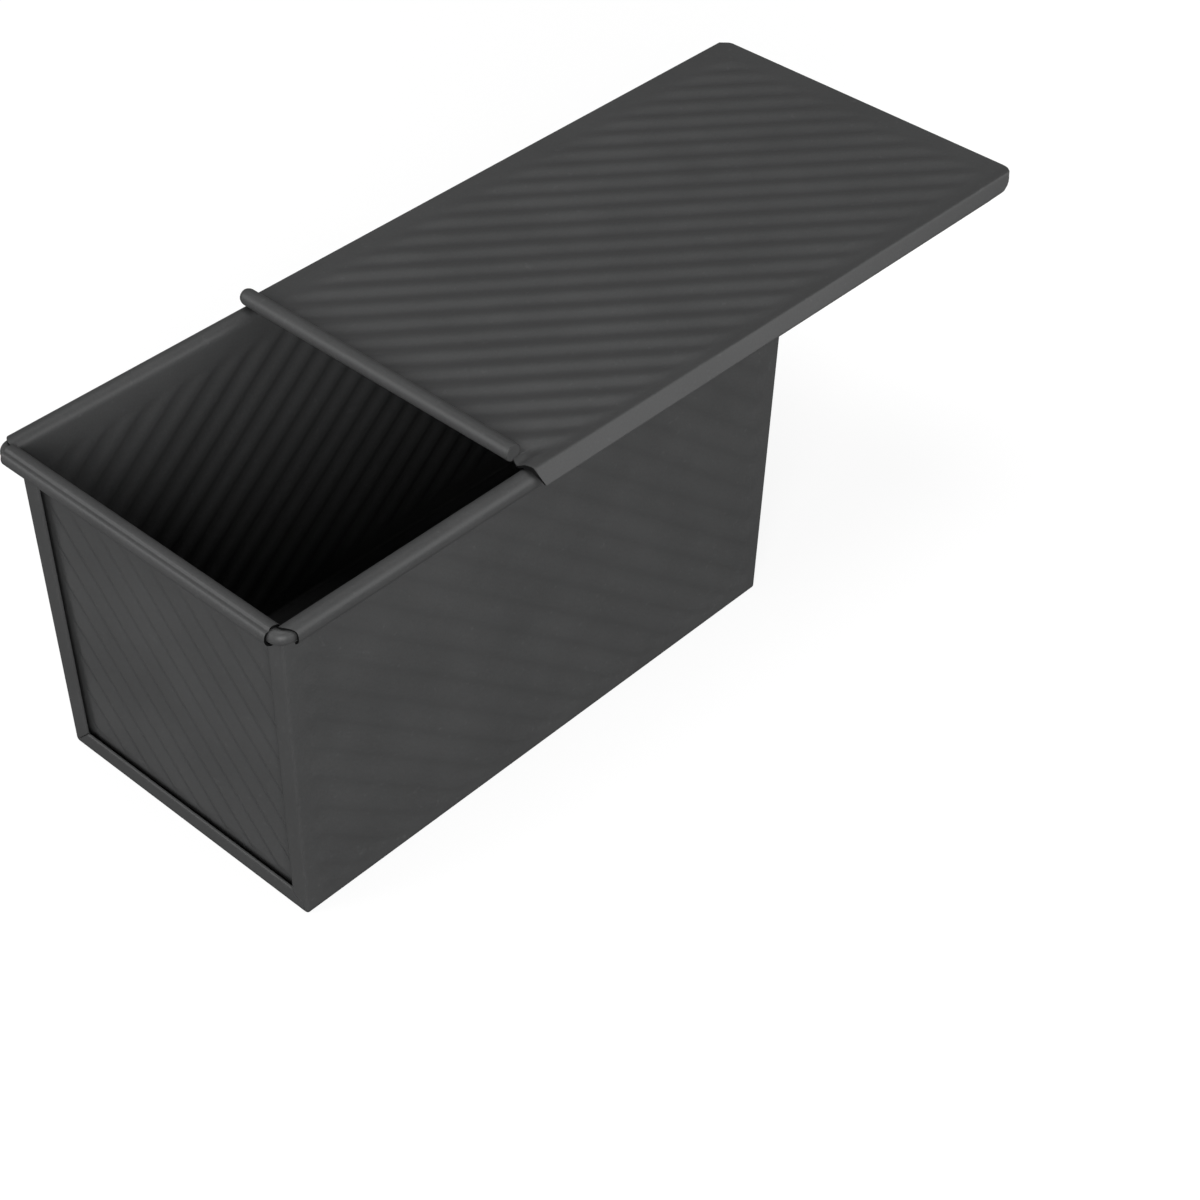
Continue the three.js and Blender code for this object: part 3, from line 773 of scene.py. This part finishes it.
def coating(name, grey, roughness, shine):
    """Charcoal non-stick coating: faint cloudiness, fine grain, small specks and an orange-peel skin, and
    painted shade that darkens its colour in narrow folds, grooves and gaps.
    """
    n = Nodes(name)
    place = n.add("ShaderNodeTexCoord").outputs["Object"]
    clouds = n.noise(place, CLOUD_SCALE, detail=3)
    grain = n.noise(place, GRAIN_SCALE, detail=3, roughness=0.7)
    specks = n.noise(place, SPECK_SCALE, detail=1)
    peel = n.noise(place, PEEL_SCALE, detail=2)
    crevice_shade = n.add("ShaderNodeAmbientOcclusion", {"Distance": CREVICE_SHADE_REACH}, samples=8).outputs["AO"]

    tone = n.maths("MULTIPLY", n.around(clouds, 1, CLOUD_TONE), n.around(grain, 1, GRAIN_TONE))
    tone = n.maths("MULTIPLY", tone, n.ranged(specks, SPECK_START, SPECK_FULL, 1.0, SPECK_TONE))
    # painted shade: the colour darkens where the ambient occlusion finds narrow creases and gaps
    tone = n.maths("MULTIPLY", tone, n.ranged(crevice_shade, *CREVICE_SHADE_OPEN, CREVICE_SHADE_TONE, 1.0))
    colour = n.add("ShaderNodeMix", data_type="RGBA", blend_type="MULTIPLY")
    n.set(colour, 0, 1.0)
    n.set(colour, 6, (*(grey * share for share in TINT), 1))
    n.set(colour, 7, n.grey(tone))
    n.set(n.shader, "Base Color", colour.outputs[2])

    rough = n.maths("ADD", n.around(clouds, 0, CLOUD_ROUGHNESS), n.around(grain, 0, GRAIN_ROUGHNESS))
    n.set(n.shader, "Roughness", n.maths("ADD", rough, roughness))
    n.set(n.shader, "Specular IOR Level", shine)
    skin = n.add("ShaderNodeBump", {"Strength": PEEL_BUMP, "Distance": PEEL_HEIGHT, "Height": peel})
    fine = n.add("ShaderNodeBump", {"Strength": GRAIN_BUMP, "Distance": GRAIN_HEIGHT, "Height": grain})
    n.set(fine, "Normal", skin.outputs["Normal"])
    n.set(n.shader, "Normal", fine.outputs["Normal"])
    return n.material


def bare_steel():
    """Drawn wire: bright steel with fine lines along it."""
    n = Nodes("bare_steel")
    place = n.add("ShaderNodeTexCoord").outputs["Object"]
    along = {"Vector": place, "Scale": (1, LINE_STRETCH, 1)}
    lines = n.noise(n.add("ShaderNodeMapping", along).outputs["Vector"], LINE_SCALE, detail=2)
    n.set(n.shader, "Metallic", 1.0)
    n.set(n.shader, "Base Color", n.grey(n.ranged(lines, NOISE_LOW, NOISE_HIGH, *STEEL_GREY)))
    n.set(n.shader, "Roughness", n.ranged(lines, NOISE_LOW, NOISE_HIGH, *STEEL_ROUGHNESS))
    return n.material


# Pieces and their finish

coat = coating("charcoal_coating", COAT_GREY, COAT_ROUGHNESS, COAT_SHINE)
# near-black painted shade on the sheets' cut edges, standing in for the dark gaps there
cut_shade = coating("cut_edge_shade", CUT_SHADE_GREY, CUT_ROUGHNESS, CUT_SHINE)
steel = bare_steel()

sheets = [
    body_wrap(),
    end_panel("near_panel", "near_end_panel", 1),
    end_panel("far_panel", "far_end_panel", -1),
    lid_sheet(),
]
for piece in sheets:
    piece.data.materials.append(coat)
    piece.data.materials.append(cut_shade)
rim_wire().data.materials.append(coat)
bead_wire().data.materials.append(steel)
bead_cap().data.materials.append(coat)


# Camera, as fitted to the photograph's straight edges

AZIMUTH = math.radians(-47.995)
ELEVATION = math.radians(40.994)
ROLL = math.radians(0.979)
EYE = Vector((-0.40969, -0.44243, 0.54880))
FOCAL_PIXELS = 2554.88
IMAGE_PIXELS = 1200
SENSOR = 36.0
CLIP_START = 0.01
CLIP_END = 100.0


def add_camera():
    back = Vector((
        math.sin(AZIMUTH) * math.cos(ELEVATION),
        -math.cos(AZIMUTH) * math.cos(ELEVATION),
        math.sin(ELEVATION),
    ))
    right = (-back).cross(Vector((0, 0, 1))).normalized()
    up = right.cross(-back)
    rolled_right = right * math.cos(ROLL) + up * math.sin(ROLL)
    rolled_up = up * math.cos(ROLL) - right * math.sin(ROLL)
    data = bpy.data.cameras.new("camera")
    data.sensor_width = SENSOR
    data.lens = SENSOR * FOCAL_PIXELS / IMAGE_PIXELS
    data.clip_start = CLIP_START
    data.clip_end = CLIP_END
    camera = bpy.data.objects.new("camera", data)
    bpy.context.scene.collection.objects.link(camera)
    turn = Matrix((rolled_right, rolled_up, back)).transposed()
    camera.matrix_world = Matrix.Translation(EYE) @ turn.to_4x4()
    bpy.context.scene.camera = camera


# Floor, light and background

AIM = Vector((0.04, 0, 0.06))
FLOOR_HALF = 6.0
FLOOR_GREY = 0.8
FLOOR_BOUNCE = 0.06  # its grey in light that goes on to the pan
FLOOR_ROUGHNESS = 0.9
FLOOR_GLOW = 1.12
GLOW_SHARE = 0.75  # near the pan, where its shadow falls; the floor glows fully further out
GLOW_FADE = (0.45, 1.1)  # metres from the middle
GLOW_MIRRORED = 0.06  # share of the glow that shows in gloss
WORLD_LIGHT = 0.12
WORLD_MIRRORED = 0.12


def light(name, direction, distance, size, power):
    data = bpy.data.lights.new(name, "AREA")
    data.shape = "DISK"
    data.size = size
    data.energy = power
    lamp = bpy.data.objects.new(name, data)
    bpy.context.scene.collection.objects.link(lamp)
    way = Vector(direction).normalized()
    lamp.location = AIM + way * distance
    lamp.rotation_mode = "QUATERNION"
    lamp.rotation_quaternion = way.to_track_quat("Z", "Y")


def seen_directly(tree, mirrored):
    """1 for rays from the camera and a given share for those by way of mirrors and glass."""
    path = tree.nodes.new("ShaderNodeLightPath")
    either = tree.nodes.new("ShaderNodeMath")
    either.operation = "MAXIMUM"
    tree.links.new(path.outputs["Is Glossy Ray"], either.inputs[0])
    tree.links.new(path.outputs["Is Transmission Ray"], either.inputs[1])
    total = tree.nodes.new("ShaderNodeMath")
    total.operation = "MULTIPLY_ADD"
    tree.links.new(either.outputs[0], total.inputs[0])
    total.inputs[1].default_value = mirrored
    tree.links.new(path.outputs["Is Camera Ray"], total.inputs[2])
    return total.outputs[0]


def floor_white():
    n = Nodes("floor_white")
    pale = n.ranged(seen_directly(n.tree, 0.0), 0.0, 1.0, FLOOR_BOUNCE, FLOOR_GREY)
    n.set(n.shader, "Base Color", n.grey(pale))
    n.set(n.shader, "Roughness", FLOOR_ROUGHNESS)
    n.set(n.shader, "Specular IOR Level", 0.0)
    glow = n.add("ShaderNodeEmission", {"Color": (1, 1, 1, 1), "Strength": FLOOR_GLOW})
    place = n.add("ShaderNodeTexCoord").outputs["Object"]
    distance = n.add("ShaderNodeVectorMath", {0: place}, operation="LENGTH").outputs["Value"]
    share = n.ranged(distance, *GLOW_FADE, GLOW_SHARE, 1.0)
    mix = n.add("ShaderNodeMixShader")
    n.set(mix, 0, n.maths("MULTIPLY", seen_directly(n.tree, GLOW_MIRRORED), share))
    n.set(mix, 1, n.shader.outputs[0])
    n.set(mix, 2, glow.outputs[0])
    n.set(n.tree.nodes["Material Output"], "Surface", mix.outputs[0])
    return n.material


def add_stage():
    h = FLOOR_HALF
    mesh = bpy.data.meshes.new("floor")
    mesh.from_pydata([(-h, -h, 0), (h, -h, 0), (h, h, 0), (-h, h, 0)], [], [(0, 1, 2, 3)])
    mesh.materials.append(floor_white())
    floor = bpy.data.objects.new("floor", mesh)
    bpy.context.scene.collection.objects.link(floor)

    world = bpy.data.worlds.new("studio")
    bpy.context.scene.world = world
    world.use_nodes = True
    tree = world.node_tree
    background = tree.nodes["Background"]
    background.inputs["Color"].default_value = (1, 1, 1, 1)
    level = tree.nodes.new("ShaderNodeMapRange")
    level.inputs["To Min"].default_value = WORLD_LIGHT
    level.inputs["To Max"].default_value = 1.0
    tree.links.new(seen_directly(tree, WORLD_MIRRORED), level.inputs["Value"])
    tree.links.new(level.outputs["Result"], background.inputs["Strength"])


add_camera()
add_stage()
light("key", direction=(-0.64, -0.62, 0.3), distance=1.8, size=1.3, power=36.5)
light("right_softbox", direction=(0.56, -0.76, 0.32), distance=1.6, size=1.2, power=12.5)
light("left_softbox", direction=(-0.765, 0.505, 0.415), distance=1.6, size=1.2, power=13)
light("top_softbox", direction=(0.0, 0.1, 1.0), distance=1.6, size=1.0, power=8.5)
bpy.context.scene.view_settings.view_transform = "Standard"
